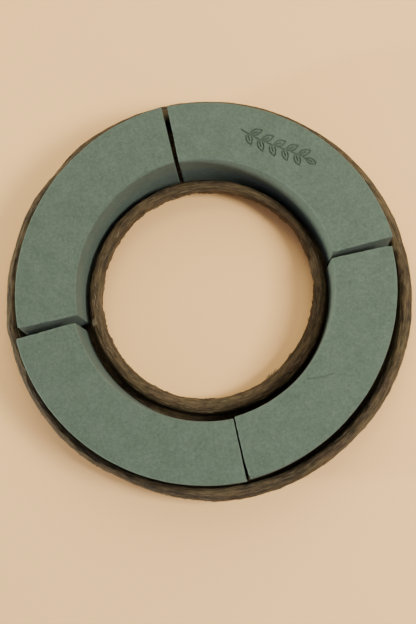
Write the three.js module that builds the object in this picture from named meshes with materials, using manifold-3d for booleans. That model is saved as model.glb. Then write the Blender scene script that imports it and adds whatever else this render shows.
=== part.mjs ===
// Wreath frame: four floral-foam segments bonded into a moulded-fibre channel tray.
// Millimetres, +Z up. The origin is on the table, under the ring's centre.
import * as THREE from 'three';
import { mergeVertices } from 'three/addons/utils/BufferGeometryUtils.js';
import Module from 'manifold-3d';

// ---- Driving dimensions ----

// Tray: a pressed-fibre channel whose two rims roll over and end in a cut lip
const TRAY_OUTER_R = 150;
const TRAY_HOLE_R = 78;
const TRAY_HEIGHT = 23;
const TRAY_WALL = 3;
const OUTER_ROLL_R = 4.35;
const INNER_ROLL_R = 5;
const LIP_DROP = 3.5;
const WALL_DRAFT = 0.6;
const FLOOR_FILLET_R = 1.5;
const BASE_FILLET_R = 2.5;

// Foam: a straight outer face, and an inner face that leans in towards the bottom
const FOAM_OUTER_R = 140.8;
const FOAM_TOP_INNER_R = 96.7;
const FOAM_BASE_INNER_R = 94.7;
const FOAM_TOP_Z = 48;
const FOAM_EDGE_BREAK = 0.8;
const FOAM_BASE_BREAK = 1.5;

// Each segment's end faces lie on radii of the ring (degrees from +X, anticlockwise).
// Each one sits a little off centre in the channel (shift, X then Y).
const SEGMENTS = [
  { start: 14.4, end: 101.7, shift: [-1.7, -2.1] },
  { start: 103.4, end: 192.5, shift: [4.0, -0.4] },
  { start: 195.3, end: 282.0, shift: [0.6, 0.9] },
  { start: 282.5, end: 372.1, shift: [-4.8, 0.7] },
];

// Hot-melt glue: flattened dabs between the channel floor and the foam
const DABS_PER_SEGMENT = 3;
const DAB_R = 12;
const DAB_HEIGHT = 1;
const DAB_RING_R = 116;
const DAB_STAGGER = 7;
const SEATING_GAP = 0.3;

// Facets
const RING_STEPS = 72;
const ROLL_STEPS = 8;
const FILLET_STEPS = 3;
const DAB_STEPS = 16;

const FOAM_BASE_Z = TRAY_WALL + SEATING_GAP + DAB_HEIGHT + SEATING_GAP;

// ---- Materials ----

const fibre = () => new THREE.MeshStandardMaterial({ color: 0x5f5040, roughness: 0.95, metalness: 0 });
const foam = () => new THREE.MeshStandardMaterial({ color: 0x6f8472, roughness: 0.9, metalness: 0 });
const glue = () => new THREE.MeshStandardMaterial({ color: 0xd9c9a0, roughness: 0.35, metalness: 0 });

// ---- Helpers ----

const wasm = await Module();
wasm.setup();

// Points on an arc in the section plane (radius, height), angles in degrees
function arc(r, z, radius, from, to, steps) {
  const points = [];
  for (let i = 0; i <= steps; i += 1) {
    const angle = THREE.MathUtils.degToRad(from + ((to - from) * i) / steps);
    points.push(new THREE.Vector2(r + radius * Math.cos(angle), z + radius * Math.sin(angle)));
  }
  return points;
}

// A closed section turned about the +Z axis
function turned(points, steps) {
  return new THREE.LatheGeometry(points, steps).rotateX(Math.PI / 2);
}

function toSolid(geometry) {
  const bare = geometry.clone();
  bare.deleteAttribute('normal');
  bare.deleteAttribute('uv');
  const merged = mergeVertices(bare, 1e-4);
  const mesh = new wasm.Mesh({
    numProp: 3,
    vertProperties: new Float32Array(merged.attributes.position.array),
    triVerts: new Uint32Array(merged.index.array),
  });
  return new wasm.Manifold(mesh);
}

function toGeometry(solid) {
  const mesh = solid.getMesh();
  const geometry = new THREE.BufferGeometry();
  geometry.setAttribute('position', new THREE.BufferAttribute(mesh.vertProperties, 3));
  geometry.setIndex(new THREE.BufferAttribute(mesh.triVerts, 1));
  geometry.computeVertexNormals();
  return geometry;
}

function part(name, geometry, material) {
  const mesh = new THREE.Mesh(geometry, material);
  mesh.name = name;
  return mesh;
}

// ---- Tray ----

function trayGeometry() {
  const outerRollR = TRAY_OUTER_R - OUTER_ROLL_R;
  const outerRollZ = TRAY_HEIGHT - OUTER_ROLL_R;
  const innerRollR = TRAY_HOLE_R + INNER_ROLL_R;
  const innerRollZ = TRAY_HEIGHT - INNER_ROLL_R;
  const outerWallR = outerRollR - OUTER_ROLL_R - WALL_DRAFT;
  const innerWallR = innerRollR + INNER_ROLL_R + WALL_DRAFT;
  const baseOuterR = outerWallR + TRAY_WALL;
  const baseInnerR = innerWallR - TRAY_WALL;
  const filletZ = TRAY_WALL + FLOOR_FILLET_R;
  const section = [
    ...arc(baseInnerR + BASE_FILLET_R, BASE_FILLET_R, BASE_FILLET_R, 180, 270, FILLET_STEPS),
    ...arc(baseOuterR - BASE_FILLET_R, BASE_FILLET_R, BASE_FILLET_R, 270, 360, FILLET_STEPS),
    // outer rim: up the outside of the wall, round the inside of the roll, round the lip and back over
    ...arc(outerRollR, outerRollZ, OUTER_ROLL_R - TRAY_WALL, 180, 0, ROLL_STEPS / 2),
    new THREE.Vector2(TRAY_OUTER_R - TRAY_WALL, outerRollZ - LIP_DROP),
    new THREE.Vector2(TRAY_OUTER_R, outerRollZ - LIP_DROP),
    ...arc(outerRollR, outerRollZ, OUTER_ROLL_R, 0, 180, ROLL_STEPS),
    // channel
    ...arc(outerWallR - FLOOR_FILLET_R, filletZ, FLOOR_FILLET_R, 360, 270, FILLET_STEPS),
    ...arc(innerWallR + FLOOR_FILLET_R, filletZ, FLOOR_FILLET_R, 270, 180, FILLET_STEPS),
    // inner rim, the same way
    ...arc(innerRollR, innerRollZ, INNER_ROLL_R, 0, 180, ROLL_STEPS),
    new THREE.Vector2(TRAY_HOLE_R, innerRollZ - LIP_DROP),
    new THREE.Vector2(TRAY_HOLE_R + TRAY_WALL, innerRollZ - LIP_DROP),
    ...arc(innerRollR, innerRollZ, INNER_ROLL_R - TRAY_WALL, 180, 0, ROLL_STEPS / 2),
  ];
  section.push(section[0].clone());
  return turned(section, RING_STEPS);
}

// ---- Foam ----

// The foam's section, with its corners broken
function foamRing() {
  const section = [
    new THREE.Vector2(FOAM_BASE_INNER_R + FOAM_BASE_BREAK, FOAM_BASE_Z),
    new THREE.Vector2(FOAM_OUTER_R - FOAM_BASE_BREAK, FOAM_BASE_Z),
    new THREE.Vector2(FOAM_OUTER_R, FOAM_BASE_Z + FOAM_BASE_BREAK),
    new THREE.Vector2(FOAM_OUTER_R, FOAM_TOP_Z - FOAM_EDGE_BREAK),
    new THREE.Vector2(FOAM_OUTER_R - FOAM_EDGE_BREAK, FOAM_TOP_Z),
    new THREE.Vector2(FOAM_TOP_INNER_R + FOAM_EDGE_BREAK, FOAM_TOP_Z),
    new THREE.Vector2(FOAM_TOP_INNER_R, FOAM_TOP_Z - FOAM_EDGE_BREAK),
    new THREE.Vector2(FOAM_BASE_INNER_R, FOAM_BASE_Z + FOAM_BASE_BREAK),
  ];
  section.push(section[0].clone());
  return turned(section, RING_STEPS);
}

// A wedge of the ring between two radii, which cuts a segment's end faces
function wedge(start, end) {
  const reach = TRAY_OUTER_R * 2;
  const outline = new THREE.Shape([new THREE.Vector2(0, 0)]);
  for (let i = 0; i <= 2; i += 1) {
    const angle = THREE.MathUtils.degToRad(start + ((end - start) * i) / 2);
    outline.lineTo(reach * Math.cos(angle), reach * Math.sin(angle));
  }
  outline.closePath();
  return new THREE.ExtrudeGeometry(outline, { depth: FOAM_TOP_Z * 2, bevelEnabled: false });
}

function segmentGeometry({ start, end, shift }) {
  const ring = toSolid(foamRing().translate(shift[0], shift[1], 0));
  return toGeometry(ring.intersect(toSolid(wedge(start, end))));
}

// ---- Glue ----

function dabGeometry() {
  const section = [
    new THREE.Vector2(0, 0),
    new THREE.Vector2(DAB_R - 0.5 * DAB_HEIGHT, 0),
    new THREE.Vector2(DAB_R, 0.4 * DAB_HEIGHT),
    new THREE.Vector2(DAB_R - DAB_HEIGHT, DAB_HEIGHT),
    new THREE.Vector2(0, DAB_HEIGHT),
  ];
  return turned(section, DAB_STEPS);
}

function dab(name, segment, place) {
  const along = (place + 0.5) / DABS_PER_SEGMENT;
  const angle = THREE.MathUtils.degToRad(segment.start + (segment.end - segment.start) * along);
  const radius = DAB_RING_R + (place % 2 === 0 ? DAB_STAGGER : -DAB_STAGGER);
  const mesh = part(name, dabGeometry(), glue());
  mesh.position.set(radius * Math.cos(angle), radius * Math.sin(angle), TRAY_WALL + SEATING_GAP);
  return mesh;
}

// ---- Assembly ----

const frame = new THREE.Group();
frame.add(part('tray', trayGeometry(), fibre()));
SEGMENTS.forEach((segment, index) => {
  const number = index + 1;
  frame.add(part(`foam_segment_${number}`, segmentGeometry(segment), foam()));
  for (let place = 0; place < DABS_PER_SEGMENT; place += 1) {
    frame.add(dab(`glue_dab_${number}_${place + 1}`, segment, place));
  }
});

export default frame;
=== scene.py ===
"""The looks of a wreath frame: floral-foam segments bonded into a ring-shaped moulded-fibre tray.

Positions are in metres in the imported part's frame, +Z up. Sizes given in millimetres are scaled by MM.
Bearings are in degrees round the ring, anticlockwise from +X.
"""

import itertools
import math

import bpy
import numpy as np
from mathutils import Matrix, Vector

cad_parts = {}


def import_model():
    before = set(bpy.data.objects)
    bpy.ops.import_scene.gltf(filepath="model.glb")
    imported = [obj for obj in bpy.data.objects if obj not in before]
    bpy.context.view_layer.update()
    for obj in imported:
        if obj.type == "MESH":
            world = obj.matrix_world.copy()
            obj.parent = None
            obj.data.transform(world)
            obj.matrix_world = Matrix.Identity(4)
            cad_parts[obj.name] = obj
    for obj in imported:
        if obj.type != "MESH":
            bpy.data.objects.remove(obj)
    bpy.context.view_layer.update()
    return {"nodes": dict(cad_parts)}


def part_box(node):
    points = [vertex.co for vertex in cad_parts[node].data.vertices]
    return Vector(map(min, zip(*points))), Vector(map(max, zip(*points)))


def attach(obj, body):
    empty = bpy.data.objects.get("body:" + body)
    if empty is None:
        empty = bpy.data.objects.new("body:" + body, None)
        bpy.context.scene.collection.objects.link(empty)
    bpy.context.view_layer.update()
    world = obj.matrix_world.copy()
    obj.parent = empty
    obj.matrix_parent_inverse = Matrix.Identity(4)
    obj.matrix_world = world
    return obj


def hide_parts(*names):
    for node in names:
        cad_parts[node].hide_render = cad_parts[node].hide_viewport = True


MM = 0.001

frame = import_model()
tray_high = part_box("tray")[1]
foam_low, foam_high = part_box("foam_segment_1")

# ---- Tray section, as in the CAD model (mm) ----

TRAY_OUTER_R = tray_high.x / MM
TRAY_HEIGHT = tray_high.z / MM
TRAY_HOLE_R = 78.0
TRAY_WALL = 3.0
OUTER_ROLL_R = 4.35
INNER_ROLL_R = 5.0
LIP_DROP = 3.5
WALL_DRAFT = 0.6
FLOOR_FILLET_R = 1.5
BASE_FILLET_R = 2.5

# ---- Tray looks ----

RING_STEPS = 720
# How much noise is drawn out along the ring: 1 would leave it as it is, and less makes longer streaks
STREAK = 0.11
# Where the crease runs round each rolled rim, in degrees from the rim's crest toward its free edge
CREASE_AT = 42.0
# Bearings of the most torn part of the outer lip, and of the outer rim's bulge beside the gap on the left
TORN_AT = 195.0
BULGE_AT = 189.58
# How many loose fibres there are, how many of them are the tuft on the hole's edge, and the tuft's bearing
LOOSE_FIBRES = 420
TUFT_FIBRES = 6
TUFT_AT = 307.0
# How far the hole's edge and the outer rim are bent out of true, away from the centre, as (bearing, mm)
HOLE_EDGE = [
    (-120, 0.0), (-60, -1.1), (-35, -1.9), (0, 0.4), (35, 3.0),
    (75, 1.7), (105, 0.6), (130, 1.0), (155, 0.2), (203, 0.3),
]
OUTER_EDGE = [
    (-128, -0.3), (-115, -1.9), (-80, 1.2), (-50, 0.1), (-35, 0.7), (65, 0.0),
    (100, 1.4), (130, 2.7), (141, 0.6), (150, 2.0), (165, 0.6),
]

# ---- Foam, as in the CAD model (mm) ----

FOAM_BASE_Z = foam_low.z / MM
FOAM_TOP_Z = foam_high.z / MM
FOAM_MID_R = 118.0
FOAM_WIDTH = 45.0
FOAM_TOP_BREAK = 0.8
FOAM_BASE_BREAK = 1.5

# ---- Foam looks (mm) ----

FOAM_STEP = 1.1
FOAM_DEPTH_STEP = 1.5
FOAM_FINE_STEP = 0.4
FOAM_ROUND = 0.8
# How much rounder the top inner edge is than the others
INNER_EDGE_ROUND = 0.9
# Where the lattice is finest, by segment: from and to a bearing, and from and to a place across
FINE = {1: (46.0, 79.5, 8.0, 32.5), 4: (315.5, 326.0, 2.4, 17.0)}
# Crumbled corners, by segment: which end, how deep, and where across they start and where they are full
CRUMBLED = {
    1: [(0, 0.9, 4.0, 0.0)],
    2: [(1, 0.6, 40.0, 45.5)],
    4: [(0, 0.9, 32.0, 46.0), (1, 0.6, 38.0, 45.5)],
}
# Dents in the top, by segment: bearing, ring radius, size and depth
DENTS = {
    1: [(20.3, 122.1, 1.3, 0.8), (18.9, 126.2, 1.5, 0.8), (15.0, 97.0, 1.6, 1.2), (88, 128, 2.5, 0.2)],
    2: [(110.7, 105.3, 1.8, 0.6), (115.5, 97.8, 0.9, 0.9), (150, 122, 2.4, 0.2), (191.8, 137, 1.4, 0.8)],
    3: [(215, 118, 2.0, 0.25), (244, 126, 1.2, 0.4), (262, 104, 1.6, 0.3)],
    4: [(360.5, 102.8, 0.9, 0.6), (283.9, 134.4, 0.9, 1.2), (283.8, 138.3, 1.1, 1.4), (341, 124, 2.0, 0.2)],
}
# The scratch in one segment's top, as (bearing, ring radius)
SCRATCHED_SEGMENT = 4
SCRATCH = [(316.8, 97.9), (319.6, 101.8), (322.0, 106.2), (325.0, 110.0)]
SCRATCH_DEPTH = 0.8
# The sprig pressed into one segment's top
MARKED_SEGMENT = 1
MARK_ANGLE = 62.6
MARK_R = 116.0
MARK_LENGTH = 60.0
MARK_HEIGHT = 17.0
MARK_DEPTH = 1.15

# ---- Colours (linear RGBA) ----

FOAM_SHADE = (0.066, 0.088, 0.063, 1)
FOAM_BODY = (0.078, 0.101, 0.075, 1)
FOAM_GRAIN = (0.091, 0.115, 0.088, 1)
FOAM_CELL = (0.035, 0.052, 0.036, 1)
# Pale edges: part worn foam, part a painted highlight along every edge
FOAM_WORN_AND_HIGHLIGHT = (0.130, 0.150, 0.118, 1)
# Pressed lines: part crushed foam, part painted shade in the grooves
FOAM_PRESSED_AND_SHADE = (0.024, 0.036, 0.025, 1)

PULP_UMBER = (0.029, 0.018, 0.008, 1)
PULP_TAN = (0.082, 0.052, 0.023, 1)
PULP_OLIVE = (0.082, 0.065, 0.024, 1)
PULP_RED = (0.076, 0.042, 0.029, 1)
STREAK_PALE = (0.134, 0.089, 0.044, 1)
STREAK_DARK = (0.016, 0.010, 0.005, 1)
FIBRE_PALE = (0.171, 0.118, 0.061, 1)
FIBRE_DARK = (0.014, 0.009, 0.004, 1)
SPECK_PALE = (0.177, 0.123, 0.065, 1)
# Painted shade in the rims' folds and crease
FOLD_PAINTED_SHADE = (0.010, 0.007, 0.004, 1)
CUT_PALE = (0.236, 0.159, 0.082, 1)

STRAND_BARK = (0.030, 0.020, 0.011, 1)
STRAND_WOOD = (0.260, 0.190, 0.115, 1)
GLUE_AMBER = (0.620, 0.500, 0.300, 1)
GLUE_MILK = (0.800, 0.700, 0.480, 1)
CARD_DEEP = (0.900, 0.520, 0.205, 1)
CARD_PALE = (0.930, 0.540, 0.215, 1)

# ---- Stage ----

# Each lamp's name, bearing and rise (degrees), distance and size (m), power (W) and colour
LAMPS = [
    ("key", -11, 50, 1.2, 0.34, 18.3, (0.97, 1.0, 0.92)),
    ("back", 90, 50, 1.0, 0.8, 8.5, (1.0, 0.97, 0.66)),
    ("window_left", 193, 7.4, 1.6, 0.13, 46.0, (0.90, 1.0, 0.94)),
]
WORLD_COLOR = (1.03, 0.98, 1.22, 1)
WORLD_STRENGTH = 0.44
FLOOR_HALF = 3.0
CAMERA_PLACE = (0.0397, -0.1395, 0.7085)
CAMERA_LEAN = 10.34
CAMERA_SWING = 3.23
LENS_MM = 54.8
SENSOR_MM = 36.0


# ---- Noise and mesh helpers ----


def noise(points, cell, seed):
    """Smooth noise, about -1 to 1, at points (N, 3). cell is the size of a bump, in the points' unit."""
    rng = np.random.default_rng(seed)
    slopes = rng.normal(size=(256, 3))
    slopes /= np.linalg.norm(slopes, axis=1)[:, None]
    table = rng.permutation(256)
    scaled = points / cell
    base = np.floor(scaled).astype(int)
    part = scaled - base
    ease = part**3 * (part * (part * 6 - 15) + 10)
    total = np.zeros(len(points))
    for corner in itertools.product((0, 1), repeat=3):
        spot = (base + corner) & 255
        pick = table[(table[(table[spot[:, 0]] + spot[:, 1]) & 255] + spot[:, 2]) & 255]
        weight = np.prod(np.where(np.array(corner) == 1, ease, 1 - ease), axis=1)
        total += ((part - corner) * slopes[pick]).sum(1) * weight
    return total * 1.6


def rough(points, cell, seed, octaves=3):
    """Noise summed over octaves, each half the size and half the height of the one before."""
    return sum(noise(points, cell / 2**n, seed + n) / 2**n for n in range(octaves))


def smooth(value, start, full):
    """0 up to start, 1 from full on, and an eased step between them. start may be the larger of the two."""
    t = np.clip((value - start) / (full - start), 0, 1)
    return t * t * (3 - 2 * t)


def hump(value, width):
    """1 at 0, falling away to nothing over about twice the width on either side."""
    return np.exp(-((value / width) ** 2))


def polar(bearing, radius):
    """A point in the plane, from degrees and a radius."""
    return radius * np.array([math.cos(math.radians(bearing)), math.sin(math.radians(bearing))])


def make_mesh(name, points_mm, quads, material, **values):
    """A smooth-shaded mesh object from points (mm) and quads, with a value at each point per keyword."""
    mesh = bpy.data.meshes.new(name)
    mesh.vertices.add(len(points_mm))
    mesh.vertices.foreach_set("co", (points_mm * MM).astype(np.float32).ravel())
    mesh.loops.add(quads.size)
    mesh.loops.foreach_set("vertex_index", quads.astype(np.int32).ravel())
    mesh.polygons.add(len(quads))
    mesh.polygons.foreach_set("loop_start", np.arange(len(quads), dtype=np.int32) * 4)
    mesh.update(calc_edges=True)
    mesh.shade_smooth()
    for key, value in values.items():
        kind = "FLOAT" if value.ndim == 1 else "FLOAT_VECTOR"
        field = "value" if value.ndim == 1 else "vector"
        mesh.attributes.new(key, kind, "POINT").data.foreach_set(field, value.astype(np.float32).ravel())
    mesh.materials.append(material)
    thing = bpy.data.objects.new(name, mesh)
    bpy.context.scene.collection.objects.link(thing)
    return thing


def ring_quads(rows, columns):
    """Quads of a closed torus-like lattice, with rows around the ring and columns around the section."""
    number = np.arange(rows * columns).reshape(rows, columns)
    across = np.roll(number, -1, 1)
    along = np.roll(number, -1, 0)
    return np.stack([number, along, np.roll(along, -1, 1), across], -1).reshape(-1, 4)


def sheet_quads(grid, flip):
    """Quads of one sheet of point numbers, facing the other way if flip is true."""
    quads = np.stack([grid[:-1, :-1], grid[1:, :-1], grid[1:, 1:], grid[:-1, 1:]], -1).reshape(-1, 4)
    return quads[:, ::-1] if flip else quads


def block_quads(ni, nj, nk):
    """Lattice places and outward quads of the surface of a block of ni x nj x nk cells."""
    on = np.zeros((ni + 1, nj + 1, nk + 1), bool)
    on[[0, -1]] = True
    on[:, [0, -1]] = True
    on[:, :, [0, -1]] = True
    number = np.full(on.shape, -1)
    number[on] = np.arange(on.sum())
    faces = [
        sheet_quads(number[-1], False),
        sheet_quads(number[0], True),
        sheet_quads(number[:, -1].T, False),
        sheet_quads(number[:, 0].T, True),
        sheet_quads(number[:, :, -1], False),
        sheet_quads(number[:, :, 0], True),
    ]
    return np.argwhere(on), np.concatenate(faces)


# ---- Node helpers ----


class Nodes:
    """A short way to write a material's node tree."""

    def __init__(self, name):
        self.material = bpy.data.materials.new(name)
        self.material.use_nodes = True
        self.tree = self.material.node_tree
        self.shader = self.tree.nodes["Principled BSDF"]
        self.object = self.add("TexCoord").outputs["Object"]

    def add(self, kind, **settings):
        node = self.tree.nodes.new("ShaderNode" + kind)
        for key, value in settings.items():
            setattr(node, key, value)
        return node

    def put(self, socket, value):
        """Sets a socket to a number or colour, or links it."""
        if isinstance(value, bpy.types.NodeSocket):
            self.tree.links.new(value, socket)
        else:
            socket.default_value = value

    def finish(self, **inputs):
        """Sets or links the shader's inputs, with _ for each space in a name, and returns the material."""
        for key, value in inputs.items():
            self.put(self.shader.inputs[key.replace("_", " ")], value)
        return self.material

    def attribute(self, name, field="Fac"):
        return self.add("Attribute", attribute_name=name).outputs[field]

    def noise(self, scale, detail=3.0, roughness=0.5, vector=None):
        node = self.add("TexNoise")
        self.put(node.inputs["Vector"], self.object if vector is None else vector)
        self.put(node.inputs["Scale"], scale)
        self.put(node.inputs["Detail"], detail)
        self.put(node.inputs["Roughness"], roughness)
        return node.outputs["Fac"]

    def cells(self, scale):
        node = self.add("TexVoronoi")
        self.put(node.inputs["Vector"], self.object)
        self.put(node.inputs["Scale"], scale)
        return node.outputs["Distance"]

    def spread(self, value, low, high, to_low=0.0, to_high=1.0):
        """The value with the span from low to high mapped to the one from to_low to to_high."""
        node = self.add("MapRange")
        self.put(node.inputs["Value"], value)
        self.put(node.inputs["From Min"], low)
        self.put(node.inputs["From Max"], high)
        self.put(node.inputs["To Min"], to_low)
        self.put(node.inputs["To Max"], to_high)
        return node.outputs["Result"]

    def scaled(self, value, factor):
        node = self.add("Math", operation="MULTIPLY")
        self.put(node.inputs[0], value)
        self.put(node.inputs[1], factor)
        return node.outputs[0]

    def mix(self, factor, a, b, blend="MIX"):
        node = self.add("Mix", data_type="RGBA", blend_type=blend)
        self.put(node.inputs["Factor"], factor)
        self.put(node.inputs[6], a)
        self.put(node.inputs[7], b)
        return node.outputs[2]

    def bump(self, height, distance, strength, normal=None):
        node = self.add("Bump")
        self.put(node.inputs["Strength"], strength)
        self.put(node.inputs["Distance"], distance)
        self.put(node.inputs["Height"], height)
        if normal is not None:
            self.put(node.inputs["Normal"], normal)
        return node.outputs["Normal"]


# ---- Materials ----


def foam_material():
    """Dusty grey-green phenolic foam: fine cells, faint blotches, pale edges that are part wear and part
    painted highlight, and pressed lines darkened partly by painted shade.
    """
    n = Nodes("floral_foam")
    blotch = n.noise(60.0, 4.0, 0.55)
    grain = n.noise(420.0, 3.0, 0.6)
    cells = n.cells(1900.0)
    speckle = n.spread(n.noise(430.0, 3.0, 0.85), 0.3, 0.7, 0.82, 1.18)
    color = n.mix(n.spread(blotch, 0.35, 0.65), FOAM_SHADE, FOAM_BODY)
    color = n.mix(n.spread(grain, 0.3, 0.75, 0.0, 0.55), color, FOAM_GRAIN)
    color = n.mix(n.spread(cells, 0.0, 0.55, 0.42, 0.0), color, FOAM_CELL)
    color = n.mix(1.0, color, speckle, "MULTIPLY")
    # paler along the edges: part wear, part painted highlight
    color = n.mix(n.scaled(n.attribute("wear"), 0.42), color, FOAM_WORN_AND_HIGHLIGHT)
    # the pressed lines darker: part crushed foam, part painted shade in the grooves
    color = n.mix(n.scaled(n.attribute("pressed"), 0.30), color, FOAM_PRESSED_AND_SHADE)
    coarse = n.bump(grain, 0.0006, 0.5)
    return n.finish(
        Base_Color=color,
        Roughness=n.spread(grain, 0.3, 0.7, 0.82, 0.97),
        Sheen_Weight=0.045,
        Sheen_Roughness=0.6,
        Specular_IOR_Level=0.05,
        Normal=n.bump(cells, 0.0003, 0.6, coarse),
    )


def fibre_material():
    """Brown moulded fibre: matted fibres that run round the ring, in umber, tan, olive and red-brown, with
    painted shade in its folds and crease.
    """
    n = Nodes("moulded_fibre")
    grain_at = n.attribute("grain", "Vector")
    streak = n.noise(300.0, 4.0, 0.6, grain_at)
    fine = n.noise(1100.0, 4.0, 0.65, grain_at)
    lump = n.noise(110.0, 4.0, 0.6)
    speck = n.noise(900.0, 3.0, 0.7)
    tint = n.noise(48.0, 3.0, 0.5)
    color = n.mix(n.spread(lump, 0.36, 0.66), PULP_UMBER, PULP_TAN)
    color = n.mix(n.spread(streak, 0.45, 0.70, 0.0, 0.65), color, STREAK_PALE)
    color = n.mix(n.spread(streak, 0.30, 0.44, 0.70, 0.0), color, STREAK_DARK)
    color = n.mix(n.spread(tint, 0.50, 0.72, 0.0, 0.35), color, PULP_OLIVE)
    color = n.mix(n.spread(tint, 0.28, 0.46, 0.40, 0.0), color, PULP_RED)
    color = n.mix(n.spread(fine, 0.50, 0.72, 0.0, 0.70), color, FIBRE_PALE)
    color = n.mix(n.spread(fine, 0.30, 0.46, 0.70, 0.0), color, FIBRE_DARK)
    color = n.mix(n.spread(speck, 0.55, 0.80, 0.0, 0.5), color, SPECK_PALE)
    # painted shade in the folds and the crease
    color = n.mix(n.scaled(n.attribute("fold"), 0.50), color, FOLD_PAINTED_SHADE)
    color = n.mix(n.scaled(n.attribute("cut"), 0.40), color, CUT_PALE)
    coarse = n.bump(streak, 0.0010, 0.8)
    medium = n.bump(fine, 0.0007, 0.9, coarse)
    return n.finish(
        Base_Color=color,
        Roughness=n.spread(streak, 0.3, 0.7, 0.78, 0.98),
        Specular_IOR_Level=0.25,
        Normal=n.bump(speck, 0.0004, 0.7, medium),
    )


def strand_material():
    """Loose wood fibres, from dark bark to pale wood."""
    n = Nodes("loose_fibre")
    shade = n.noise(70.0, 2.0)
    return n.finish(
        Base_Color=n.mix(n.spread(shade, 0.35, 0.65), STRAND_BARK, STRAND_WOOD),
        Roughness=n.spread(shade, 0.3, 0.7, 0.7, 0.9),
        Normal=n.bump(n.noise(1500.0), 0.0001, 0.5),
    )


def glue_material():
    """Set hot-melt glue: milky amber with a waxy skin."""
    n = Nodes("hot_melt_glue")
    cloud = n.noise(140.0, 3.0)
    return n.finish(
        Base_Color=n.mix(cloud, GLUE_AMBER, GLUE_MILK),
        Roughness=n.spread(cloud, 0.3, 0.7, 0.28, 0.45),
        Subsurface_Weight=0.2,
        Subsurface_Scale=0.002,
        Normal=n.bump(n.noise(500.0), 0.0003, 0.4),
    )


def floor_material():
    """Matt pale peach card."""
    n = Nodes("floor")
    mottle = n.noise(3.0, 2.0)
    return n.finish(Base_Color=n.mix(mottle, CARD_DEEP, CARD_PALE), Roughness=0.9, Specular_IOR_Level=0.1)


# ---- Foam segments ----


def circle_through(points):
    """Centre and radius of the circle that fits points (N, 2) best."""
    rows = np.column_stack([2 * points, np.ones(len(points))])
    x, y, rest = np.linalg.lstsq(rows, (points**2).sum(1), rcond=None)[0]
    return np.array([x, y]), math.sqrt(rest + x * x + y * y)


class Segment:
    """A foam segment's plan, measured on its CAD solid, and the way from its own coordinates to the ring.

    Its own coordinates are millimetres across from the inner face, along from its first end, and up.
    """

    def __init__(self, node):
        mesh = frame["nodes"][node].data
        points = np.zeros(len(mesh.vertices) * 3, np.float32)
        mesh.vertices.foreach_get("co", points)
        points = points.reshape(-1, 3).astype(float) / MM
        inside = np.hypot(points[:, 0], points[:, 1]) < FOAM_MID_R
        at_top = np.isclose(points[:, 2], FOAM_TOP_Z - FOAM_TOP_BREAK, rtol=0, atol=0.05)
        at_base = np.isclose(points[:, 2], FOAM_BASE_Z + FOAM_BASE_BREAK, rtol=0, atol=0.05)
        self.centre, self.outer_r = circle_through(points[~inside & at_top][:, :2])
        self.top_inner_r = circle_through(points[inside & at_top][:, :2])[1]
        self.base_inner_r = circle_through(points[inside & at_base][:, :2])[1]
        middle = math.atan2(points[:, 1].mean(), points[:, 0].mean())
        turn = np.angle(np.exp(1j * (np.arctan2(points[:, 1], points[:, 0]) - middle)))
        self.start = middle + turn.min()
        self.length = (middle + turn.max() - self.start) * FOAM_MID_R
        self.size = np.array([FOAM_WIDTH, self.length, FOAM_TOP_Z - FOAM_BASE_Z])

    def reach(self, angle, radius):
        """Distance from the ring's centre, along angle, to a circle about the segment's own centre."""
        along = self.centre[0] * np.cos(angle) + self.centre[1] * np.sin(angle)
        return along + np.sqrt(radius**2 - self.centre @ self.centre + along**2)

    def along(self, bearing):
        """How far along the segment a bearing is (mm)."""
        return (math.radians(bearing) - self.start) % (2 * math.pi) * FOAM_MID_R

    def to_ring(self, local):
        angle = self.start + local[:, 1] / FOAM_MID_R
        height = FOAM_BASE_Z + local[:, 2]
        lift = local[:, 2] / self.size[2]
        inner = self.reach(angle, self.base_inner_r + lift * (self.top_inner_r - self.base_inner_r))
        outer = self.reach(angle, self.outer_r)
        radius = inner + local[:, 0] / FOAM_WIDTH * (outer - inner)
        return np.column_stack([radius * np.cos(angle), radius * np.sin(angle), height])


def stops(length, step, fine=()):
    """Lattice places from 0 to length: close together at both ends and between the two fine places."""
    edge = [0.0, 0.13, 0.33, 0.6, 0.95, 1.5, 2.3]
    inside = [edge[-1], *fine, length - edge[-1]]
    places = [*edge[:-1], *(length - x for x in edge[:-1])]
    for number, (low, high) in enumerate(zip(inside[:-1], inside[1:])):
        size = FOAM_FINE_STEP if fine and number == 1 else step
        places += list(np.linspace(low, high, max(2, round((high - low) / size) + 1)))
    return np.unique(np.round(places, 4))


def foam_lattice(number, plan):
    """Points, in the segment's own coordinates, and quads of its sharp-edged block."""
    across_fine, along_fine = (), ()
    if number in FINE:
        first, last, *across_fine = FINE[number]
        along_fine = [plan.along(first), plan.along(last)]
    xs = stops(plan.size[0], FOAM_STEP, across_fine)
    ys = stops(plan.size[1], FOAM_STEP, along_fine)
    zs = stops(plan.size[2], FOAM_DEPTH_STEP)
    places, quads = block_quads(len(xs) - 1, len(ys) - 1, len(zs) - 1)
    return np.column_stack([xs[places[:, 0]], ys[places[:, 1]], zs[places[:, 2]]]), quads


def round_edges(sharp, size, seed):
    """A block's points with its edges rounded, most at the top inner one, the normals, and 1 at an edge."""
    inner_edge = 1 - smooth(np.hypot(sharp[:, 0], size[2] - sharp[:, 2]), 0.0, 6.0)
    radius = ((FOAM_ROUND + INNER_EDGE_ROUND * inner_edge) * (1 + 0.3 * noise(sharp, 6.0, seed)))[:, None]
    core = np.clip(sharp, radius, size - radius)
    normal = (sharp - core) / np.linalg.norm(sharp - core, axis=1)[:, None]
    edge = 1 - smooth(np.sort(np.minimum(sharp, size - sharp), axis=1)[:, 1], 0.0, 1.6)
    return core + radius * normal, normal, edge


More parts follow.
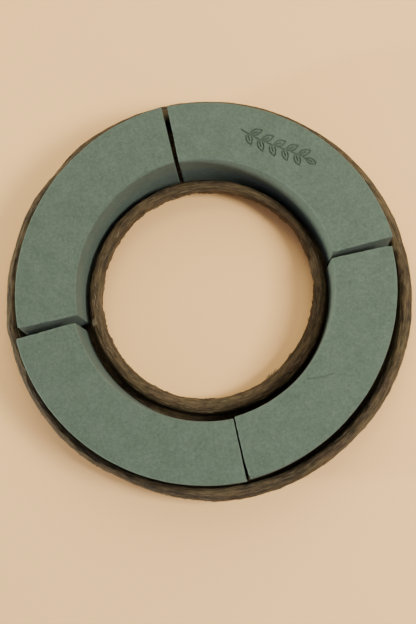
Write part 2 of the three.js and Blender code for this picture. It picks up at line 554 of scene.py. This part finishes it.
def wear_ends(local, size, number, seed):
    """Cuts the sawn ends back: upright saw lines, torn grain and crumbled corners, fading inward."""
    across, up, tall = local[:, 0], local[:, 2], size[2]
    for end, away in ((0, local[:, 1].copy()), (1, size[1] - local[:, 1])):
        face = np.column_stack([across, np.full(len(local), 50.0 * end), up])
        torn = 0.10 * noise(face / [1.0, 1.0, 9.0], 0.9, seed + 31) + 0.10 * rough(face, 3.0, seed + 32)
        torn += 0.8 * smooth(noise(face, 2.4, seed + 33), 0.45, 0.85) * smooth(up, tall - 3.5, tall)
        inward = np.maximum(torn + 0.06, 0.0) * hump(away, 2.2)
        for which, depth, start, full in CRUMBLED.get(number, []):
            if which == end:
                crumb = smooth(across, start, full) * smooth(up, tall - 16, tall - 1)
                inward += depth * crumb * (1 + 0.5 * rough(face, 3.0, seed + 34)) * hump(away, 5.0)
        local[:, 1] += inward if end == 0 else -inward


def leaf(root, angle, length, width):
    """The outline of a pointed leaf from its root, and its midrib, as lines of points (mm)."""
    t = np.linspace(0, 1, 9)
    side = width / 2 * np.sin(math.pi * t) ** 0.85
    axis = np.array([math.cos(angle), math.sin(angle)])
    out = np.array([-axis[1], axis[0]])
    spine = root + length * t[:, None] * axis
    return [spine + side[:, None] * out, spine - side[:, None] * out, spine[:6]]


def sprig():
    """A plain leafy sprig round (0, 0): a wavy stem with pairs of leaves, MARK_LENGTH by MARK_HEIGHT."""
    half = MARK_LENGTH / 2
    tip_leaf, pairs, spacing = 8.0, 5, 9.6
    stem_x = np.linspace(-half, half - tip_leaf, 15)
    stem = np.column_stack([stem_x, np.sin(stem_x / half * math.pi)])
    lines = [stem, *leaf(stem[-1], 0.0, tip_leaf, 4.0)]
    for number in range(pairs):
        x = -half + 5.0 + spacing * number
        for side in (-1, 1):
            root = np.array([x + (2.2 if side > 0 else 0.0), math.sin(x / half * math.pi)])
            lines += leaf(root, side * math.radians(46), 9.4, 4.3)
    return lines


def line_distance(points, lines):
    """Distance from each point (N, 2) to the nearest line."""
    best = np.full(len(points), 1e9)
    for line in lines:
        for a, b in zip(line[:-1], line[1:]):
            step = b - a
            t = np.clip((points - a) @ step / (step @ step), 0, 1)
            best = np.minimum(best, np.linalg.norm(points - a - t[:, None] * step, axis=1))
    return best


def handling_marks(ring, number, seed):
    """How deep the dents and the scratch are at each point of a segment (mm)."""
    sink = np.zeros(len(ring))
    for bearing, radius, size, depth in DENTS[number]:
        sink += depth * hump(np.linalg.norm(ring[:, :2] - polar(bearing, radius), axis=1), size)
    if number == SCRATCHED_SEGMENT:
        gap = line_distance(ring[:, :2], [np.array([polar(*spot) for spot in SCRATCH])])
        sink += SCRATCH_DEPTH * (1 - smooth(gap + 0.2 * noise(ring, 2.0, seed + 42), 0.1, 0.65))
    return sink


def pressed_sprig(ring, top, seed):
    """1 in the sprig's lines, and how deep they sink each point (mm), with a slight ridge beside them."""
    out = polar(MARK_ANGLE, 1.0)
    right = np.array([out[1], -out[0]])
    flat = np.column_stack([ring[:, :2] @ right, ring[:, :2] @ out - MARK_R])
    margin = 3.0
    half_box = np.array([MARK_LENGTH, MARK_HEIGHT]) / 2 + margin
    near = (np.abs(flat) < half_box).all(axis=1) & (top > 0)
    gap = np.full(len(ring), 3 * margin)
    gap[near] = line_distance(flat[near], sprig())
    ragged = gap + 0.12 * noise(ring, 0.9, seed + 41)
    pressed = (1 - smooth(ragged, 0.22, 0.70)) * top
    ridge = smooth(ragged, 0.6, 0.9) * (1 - smooth(ragged, 0.9, 1.9))
    return pressed, MARK_DEPTH * pressed - 0.10 * ridge


def foam_segment(number, material):
    """One foam segment: fine-grained faces, soft worn edges, sawn ends, and its own marks in the top."""
    plan = Segment(f"foam_segment_{number}")
    seed = 100 * number
    sharp, quads = foam_lattice(number, plan)
    local, normal, edge = round_edges(sharp, plan.size, seed)
    top = smooth(normal[:, 2], 0.3, 0.9)

    # faint waves, fine grain, and small bites out of the edges
    height = 0.10 * rough(local, 16.0, seed + 1) + 0.045 * rough(local, 2.2, seed + 11, 2)
    height -= 0.5 * edge * smooth(noise(local, 2.6, seed + 21), 0.30, 0.75)
    wear_ends(local, plan.size, number, seed)
    local += height[:, None] * normal
    ring = plan.to_ring(local)

    # the marks go straight down into the top
    sink = handling_marks(ring, number, seed)
    pressed = np.zeros(len(ring))
    if number == MARKED_SEGMENT:
        pressed, sprig_sink = pressed_sprig(ring, top, seed)
        sink += sprig_sink
    ring[:, 2] -= sink * top

    # how pale each edge is painted: part wear, part a painted highlight
    wear = np.clip(edge * (0.55 + 0.6 * noise(local, 4.0, seed + 51)), 0, 1)
    piece = make_mesh(f"foam_{number}", ring, quads, material, wear=wear, pressed=pressed)
    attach(piece, "root")
    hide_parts(f"foam_segment_{number}")


# ---- Tray ----


def arc_points(r, z, radius, start, end, step):
    """Points about a step apart on an arc round (r, z), from start to end in degrees."""
    count = max(2, round(abs(end - start) * math.pi / 180 * radius / step))
    angles = np.radians(np.linspace(start, end, count + 1))
    return np.column_stack([r + radius * np.cos(angles), z + radius * np.sin(angles)])


def line_points(start, end, step):
    """Points about a step apart on a line, without its last one."""
    count = max(1, round(math.dist(start, end) / step))
    return np.linspace(start, end, count + 1)[:-1]


def section_runs():
    """The tray's section as a closed chain of runs, each with how much of a rim and of a cut lip it is."""
    rim_step, lip_step, under_step, turn_step, fillet_step = 0.68, 0.75, 0.9, 1.2, 1.2
    wall_step, hidden_step, flat_step = 1.8, 3.0, 4.5
    outer_r, outer_z = TRAY_OUTER_R - OUTER_ROLL_R, TRAY_HEIGHT - OUTER_ROLL_R
    inner_r, inner_z = TRAY_HOLE_R + INNER_ROLL_R, TRAY_HEIGHT - INNER_ROLL_R
    outer_wall = outer_r - OUTER_ROLL_R - WALL_DRAFT
    inner_wall = inner_r + INNER_ROLL_R + WALL_DRAFT
    base_outer, base_inner = outer_wall + TRAY_WALL, inner_wall - TRAY_WALL
    flat_outer, flat_inner = base_outer - BASE_FILLET_R, base_inner + BASE_FILLET_R
    floor_outer, floor_inner = outer_wall - FLOOR_FILLET_R, inner_wall + FLOOR_FILLET_R
    fillet_z = TRAY_WALL + FLOOR_FILLET_R
    lip_outer, lip_inner = outer_z - LIP_DROP, inner_z - LIP_DROP
    outer_under, inner_under = OUTER_ROLL_R - TRAY_WALL, INNER_ROLL_R - TRAY_WALL
    outer_back, inner_back = TRAY_OUTER_R - TRAY_WALL, TRAY_HOLE_R + TRAY_WALL
    return [
        # the base and the outer wall's outside
        (arc_points(flat_inner, BASE_FILLET_R, BASE_FILLET_R, 180, 270, fillet_step), 0, 0),
        (line_points((flat_inner, 0), (flat_outer, 0), flat_step)[1:], 0, 0),
        (arc_points(flat_outer, BASE_FILLET_R, BASE_FILLET_R, 270, 360, fillet_step), 0, 0),
        (line_points((base_outer, BASE_FILLET_R), (outer_r - outer_under, outer_z), hidden_step)[1:], 0, 0),
        # the outer rim, from under its roll round its lip to the wall's inside
        (arc_points(outer_r, outer_z, outer_under, 180, 0, under_step), 0, 0),
        (line_points((outer_back, outer_z), (outer_back, lip_outer), turn_step)[1:], 0, 0.5),
        (line_points((outer_back, lip_outer), (TRAY_OUTER_R, lip_outer), lip_step), 1, 1),
        (line_points((TRAY_OUTER_R, lip_outer), (TRAY_OUTER_R, outer_z), rim_step), 1, 1),
        (arc_points(outer_r, outer_z, OUTER_ROLL_R, 0, 180, rim_step), 1, 0),
        (line_points((outer_r - OUTER_ROLL_R, outer_z), (outer_wall, fillet_z), wall_step)[1:], 0.4, 0),
        # the channel's floor
        (arc_points(floor_outer, fillet_z, FLOOR_FILLET_R, 360, 270, fillet_step), 0.2, 0),
        (line_points((floor_outer, TRAY_WALL), (floor_inner, TRAY_WALL), flat_step)[1:], 0, 0),
        (arc_points(floor_inner, fillet_z, FLOOR_FILLET_R, 270, 180, fillet_step), 0.2, 0),
        # the hole's rim, and the inner wall down to the base
        (line_points((inner_wall, fillet_z), (inner_r + INNER_ROLL_R, inner_z), wall_step)[1:], 0.4, 0),
        (arc_points(inner_r, inner_z, INNER_ROLL_R, 0, 180, rim_step), 1, 0),
        (line_points((TRAY_HOLE_R, inner_z), (TRAY_HOLE_R, lip_inner), rim_step)[1:], 1, 1),
        (line_points((TRAY_HOLE_R, lip_inner), (inner_back, lip_inner), lip_step), 1, 1),
        (line_points((inner_back, lip_inner), (inner_back, inner_z), turn_step), 0, 0.5),
        (arc_points(inner_r, inner_z, inner_under, 180, 0, under_step), 0, 0),
        (line_points((inner_r + inner_under, inner_z), (base_inner, BASE_FILLET_R), hidden_step)[1:], 0, 0),
    ]


class TrayLattice:
    """The tray's plain section repeated round the ring, one row for each step round it.

    Its arrays have an entry for every point, but section_rim and section_lip have one for every column.
    drawn, round_ring and in_place are places to read noise at: drawn out along the ring, the same all
    across a rim, and as they are.
    """

    def __init__(self):
        runs = section_runs()
        points = np.concatenate([run for run, _, _ in runs])
        self.section_rim = np.concatenate([np.full(len(run), float(rim)) for run, rim, _ in runs])
        self.section_lip = np.concatenate([np.full(len(run), float(lip)) for run, _, lip in runs])
        ahead, behind = np.roll(points, -1, 0), np.roll(points, 1, 0)
        tangent = ahead - behind
        tangent /= np.linalg.norm(tangent, axis=1)[:, None]
        normal = np.column_stack([tangent[:, 1], -tangent[:, 0]])
        run_length = np.cumsum(np.linalg.norm(points - behind, axis=1))

        self.columns = len(points)
        self.angle = np.repeat(np.linspace(0, 2 * math.pi, RING_STEPS, endpoint=False), self.columns)
        self.circle = np.column_stack([np.cos(self.angle), np.sin(self.angle)])
        self.radius = np.tile(points[:, 0], RING_STEPS)
        self.level = np.tile(points[:, 1], RING_STEPS)
        self.facing = np.tile(normal, (RING_STEPS, 1))
        self.rim = np.tile(self.section_rim, RING_STEPS)
        self.lip = np.tile(self.section_lip, RING_STEPS)
        self.outside = self.radius > FOAM_MID_R
        self.outward = np.where(self.outside, 1.0, -1.0)
        flat = self.radius[:, None] * self.circle
        self.drawn = np.column_stack([flat * STREAK, np.tile(run_length, RING_STEPS)])
        self.round_ring = np.column_stack([flat, np.where(self.outside, 0.0, 500.0)])
        self.in_place = np.column_stack([flat, self.level])


def rim_folds(at):
    """1 in a rim's folds and in the long crease round it, and 0 away from them."""
    fold = smooth(1 - np.abs(noise(at.drawn, 3.0, 97)) * 4.5, 0.0, 1.0)
    roll_r = np.where(at.outside, TRAY_OUTER_R - OUTER_ROLL_R, TRAY_HOLE_R + INNER_ROLL_R)
    roll_z = TRAY_HEIGHT - np.where(at.outside, OUTER_ROLL_R, INNER_ROLL_R)
    toward_edge = np.degrees(np.arctan2((at.radius - roll_r) * at.outward, at.level - roll_z))
    path = CREASE_AT + 14 * noise(at.round_ring, 30.0, 77) + 7 * noise(at.round_ring, 6.0, 87)
    strength = (at.rim > 0.5) * (0.6 + 0.4 * noise(at.round_ring, 12.0, 107))
    return np.maximum(0.8 * fold, hump(toward_edge - path, 6.0) * strength)


def pulp_height(at, fold):
    """How far the pressed pulp stands proud of the plain section (mm): wrinkles, lumps and folds."""
    wrinkle = rough(at.drawn, 2.6, 7, 3)
    lump = np.where(at.outside, 0.14, 0.28) * rough(at.in_place, 9.0, 17, 3)
    height = at.rim * (0.32 * wrinkle - 0.40 * fold + lump) + 0.07 * rough(at.in_place, 3.0, 27, 2)
    height[at.level < 0.01] = 0.0
    return height


def torn_lips(at):
    """How ragged each point is, and how far the torn lips are pushed out sideways and hang down (mm)."""
    most_torn = smooth(np.cos(at.angle - math.radians(TORN_AT)), -0.1, 0.6)
    torn = np.where(at.outside, 0.35 + 0.85 * most_torn, 1.0)
    ragged = 0.70 * rough(at.round_ring, 7.0, 37, 4) + 0.45 * noise(at.round_ring, 1.8, 47)
    sway = 0.15 * noise(at.round_ring, 55.0, 57)
    bulge = 0.9 * hump(at.angle - math.radians(BULGE_AT), 0.05) * at.outside
    shift = at.outward * (at.lip * torn * ragged + at.rim * (sway + bulge))
    drop = at.lip * torn * (0.9 * rough(at.round_ring, 5.0, 67, 3) + 0.3)
    return ragged, shift, drop


def rim_bend(at):
    """How far the rims are bent out of true, away from the centre (mm), fading out across each roll."""
    bearing = np.degrees(at.angle)
    hole_bend = np.interp(bearing, *np.array(HOLE_EDGE).T, period=360)
    outer_bend = np.interp(bearing, *np.array(OUTER_EDGE).T, period=360)
    hole_roll, outer_roll = 2 * INNER_ROLL_R, 2 * OUTER_ROLL_R
    hole_bend *= np.clip((TRAY_HOLE_R + hole_roll - at.radius) / hole_roll, 0, 1)
    outer_bend *= np.clip((at.radius - TRAY_OUTER_R + outer_roll) / outer_roll, 0, 1)
    above_lip = at.level > TRAY_HEIGHT - INNER_ROLL_R - LIP_DROP - 0.1
    return np.where(at.outside, outer_bend, hole_bend) * above_lip


def tray_surface():
    """The pressed tray's points, in the lattice's rows, with its quads, point values and the lattice."""
    at = TrayLattice()
    fold = rim_folds(at)
    height = pulp_height(at, fold)
    ragged, shift, drop = torn_lips(at)
    radius = at.radius + at.facing[:, 0] * height + (shift + rim_bend(at))
    level = at.level + at.facing[:, 1] * height - drop
    points = np.column_stack([radius[:, None] * at.circle, np.maximum(level, 0.0)])
    values = {
        "grain": at.drawn * MM,
        "cut": at.lip * smooth(ragged, -0.2, 0.6),
        # where painted shade darkens the rims' folds and crease
        "fold": fold * (at.rim > 0.5),
    }
    quads = ring_quads(RING_STEPS, at.columns)
    return points.reshape(RING_STEPS, at.columns, 3), quads, values, at


def strand(path, thickness):
    """A thin four-sided fibre along a path of points, tapering toward both ends."""
    along = np.gradient(path, axis=0)
    along /= np.linalg.norm(along, axis=1)[:, None]
    side = np.cross(along, [0.0, 0.0, 1.0]) + 1e-6
    side /= np.linalg.norm(side, axis=1)[:, None]
    up = np.cross(side, along)
    taper = thickness * (0.25 + np.sin(np.linspace(0.0, math.pi, len(path))))[:, None]
    return np.stack([path + side * taper, path + up * taper, path - side * taper, path - up * taper], 1)


def strand_quads(count):
    """Quads of one strand with count places along it, closed at both ends."""
    number = np.arange(count * 4).reshape(count, 4)
    here, ahead = number[:-1], number[1:]
    sides = [np.stack([here[:, k], here[:, k - 3], ahead[:, k - 3], ahead[:, k]], -1) for k in range(4)]
    return np.concatenate([*sides, number[:1, ::-1], number[-1:]])


def fibre_path(rng, surface, starts, tuft):
    """A path that follows the tray's surface round the ring, from one of the start columns."""
    rows, columns = surface.shape[:2]
    column = rng.choice(starts)
    row = rng.integers(rows)
    count = rng.integers(6, 12)
    if tuft:
        row = round(TUFT_AT / 360 * rows) + rng.integers(-7, 8)
    at = (row + np.arange(count)) % rows
    drift = column + np.round(np.cumsum(rng.normal(0.0, 0.45, count))).astype(int)
    path = surface[at, np.clip(drift, column - 3, column + 3) % columns]
    padded = np.pad(path, ((1, 1), (0, 0)), "edge")
    return (padded[:-2] + padded[1:-1] + padded[2:]) / 3


def fray(rng, path, tuft):
    """Bends a lip's fibre off the tray: into the hole, or a little way outward."""
    away = path[:, :2] / np.linalg.norm(path[:, :2], axis=1)[:, None]
    at_hole = np.linalg.norm(path[0, :2]) < FOAM_MID_R
    longest = rng.uniform(0.3, 1.3) * (2.6 if tuft else 1.0)
    reach = np.linspace(0.05, 1.0, len(path))[:, None] ** 1.5 * longest
    path[:, :2] += away * reach * (-1 if at_hole else 0.4)
    path[:, 2] += reach[:, 0] * rng.uniform(-0.4, 0.6)


def loose_fibres(surface, lattice, material):
    """Wood fibres that lie on the rolled rims, and a fringe of them off the torn lips, with one tuft."""
    rng = np.random.default_rng(5)
    on_rim = np.flatnonzero(lattice.section_rim > 0.5)
    lip_bottom = TRAY_HEIGHT - OUTER_ROLL_R - LIP_DROP
    on_lip = np.flatnonzero((lattice.section_lip > 0.9) & (surface[:, :, 2].mean(0) > lip_bottom + 0.8))
    hole_lip = on_lip[np.hypot(*surface[0, on_lip, :2].T) < FOAM_MID_R]
    points, quads, start = [], [], 0
    for number in range(LOOSE_FIBRES):
        tuft = number < TUFT_FIBRES
        fringe = tuft or number % 3 == 0
        path = fibre_path(rng, surface, hole_lip if tuft else on_lip if fringe else on_rim, tuft)
        if fringe:
            fray(rng, path, tuft)
        else:
            path[:, 2] += 0.05 + 0.25 * rng.random() * np.linspace(0.0, 1.0, len(path)) ** 2
        thickness = rng.uniform(0.16, 0.30) if tuft else rng.uniform(0.07, 0.17)
        points.append(strand(path, thickness).reshape(-1, 3))
        quads.append(strand_quads(len(path)) + start)
        start += len(path) * 4
    return make_mesh("rim_fibres", np.concatenate(points), np.concatenate(quads), material)


def tray(material, strand_finish):
    """The pressed tray, and the loose fibres on it."""
    surface, quads, values, lattice = tray_surface()
    piece = make_mesh("tray_pressed", surface.reshape(-1, 3), quads, material, **values)
    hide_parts("tray")
    fibres = loose_fibres(surface, lattice, strand_finish)
    for part in (piece, fibres):
        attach(part, "root")


# ---- Glue ----


def glue_dab(name, seed, material):
    """A squeezed-out dab of hot-melt glue with a wavy outline, in the place of its CAD disc."""
    low, high = (np.array(corner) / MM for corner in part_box(name))
    size = high - low
    cells = np.array([18, 18, 3])
    places, quads = block_quads(*cells)
    sharp = places / cells * size
    radius = 0.45 * size[2]
    core = np.clip(sharp, radius, size - radius)
    offset = sharp - core
    local = core + radius * offset / np.linalg.norm(offset, axis=1)[:, None]
    flat = (local[:, :2] - size[:2] / 2) / (size[:2] / 2)
    disc = flat * np.sqrt(1 - flat[:, ::-1] ** 2 / 2)
    bearing = disc / np.maximum(np.linalg.norm(disc, axis=1), 0.02)[:, None]
    wave = 0.88 + 0.11 * noise(np.column_stack([bearing, np.zeros(len(disc))]), 0.6, seed)
    spread = disc * wave[:, None] * size[:2] / 2 + (low + high)[:2] / 2
    piece = make_mesh(f"{name}_set", np.column_stack([spread, low[2] + local[:, 2]]), quads, material)
    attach(piece, "root")
    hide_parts(name)


# ---- Light, camera, floor ----


def floor():
    """The card that the ring lies on, which isn't part of the object."""
    mesh = bpy.data.meshes.new("floor")
    corners = [(-FLOOR_HALF, -FLOOR_HALF, 0), (FLOOR_HALF, -FLOOR_HALF, 0)]
    corners += [(-x, -y, 0) for x, y, _ in corners]
    mesh.from_pydata(corners, [], [(0, 1, 2, 3)])
    mesh.materials.append(floor_material())
    thing = bpy.data.objects.new("floor", mesh)
    bpy.context.scene.collection.objects.link(thing)


def area_light(name, bearing, rise, distance, size, power, color):
    """A square lamp that faces the ring's centre."""
    light = bpy.data.lights.new(name, "AREA")
    light.size = size
    light.energy = power
    light.color = color
    thing = bpy.data.objects.new(name, light)
    turn, lift = math.radians(bearing), math.radians(rise)
    thing.location = (
        distance * math.cos(lift) * math.cos(turn),
        distance * math.cos(lift) * math.sin(turn),
        distance * math.sin(lift),
    )
    thing.rotation_euler = (math.pi / 2 - lift, 0, turn + math.pi / 2)
    bpy.context.scene.collection.objects.link(thing)


def world():
    """The room's even light."""
    room = bpy.data.worlds.new("studio")
    room.use_nodes = True
    background = room.node_tree.nodes["Background"]
    background.inputs["Color"].default_value = WORLD_COLOR
    background.inputs["Strength"].default_value = WORLD_STRENGTH
    bpy.context.scene.world = room


def camera():
    """Looks down from 0.7 m, from a little in front of the ring and to its right."""
    lens = bpy.data.cameras.new("camera")
    lens.sensor_width = SENSOR_MM
    lens.lens = LENS_MM
    thing = bpy.data.objects.new("camera", lens)
    thing.location = CAMERA_PLACE
    thing.rotation_euler = (math.radians(CAMERA_LEAN), math.radians(CAMERA_SWING), 0)
    bpy.context.scene.collection.objects.link(thing)
    bpy.context.scene.camera = thing


# ---- Build ----

foam_finish = foam_material()
for number in range(1, 5):
    foam_segment(number, foam_finish)
tray(fibre_material(), strand_material())
glue_finish = glue_material()
for seed, name in enumerate(sorted(node for node in frame["nodes"] if node.startswith("glue_dab"))):
    glue_dab(name, seed, glue_finish)
floor()
for lamp in LAMPS:
    area_light(*lamp)
world()
camera()
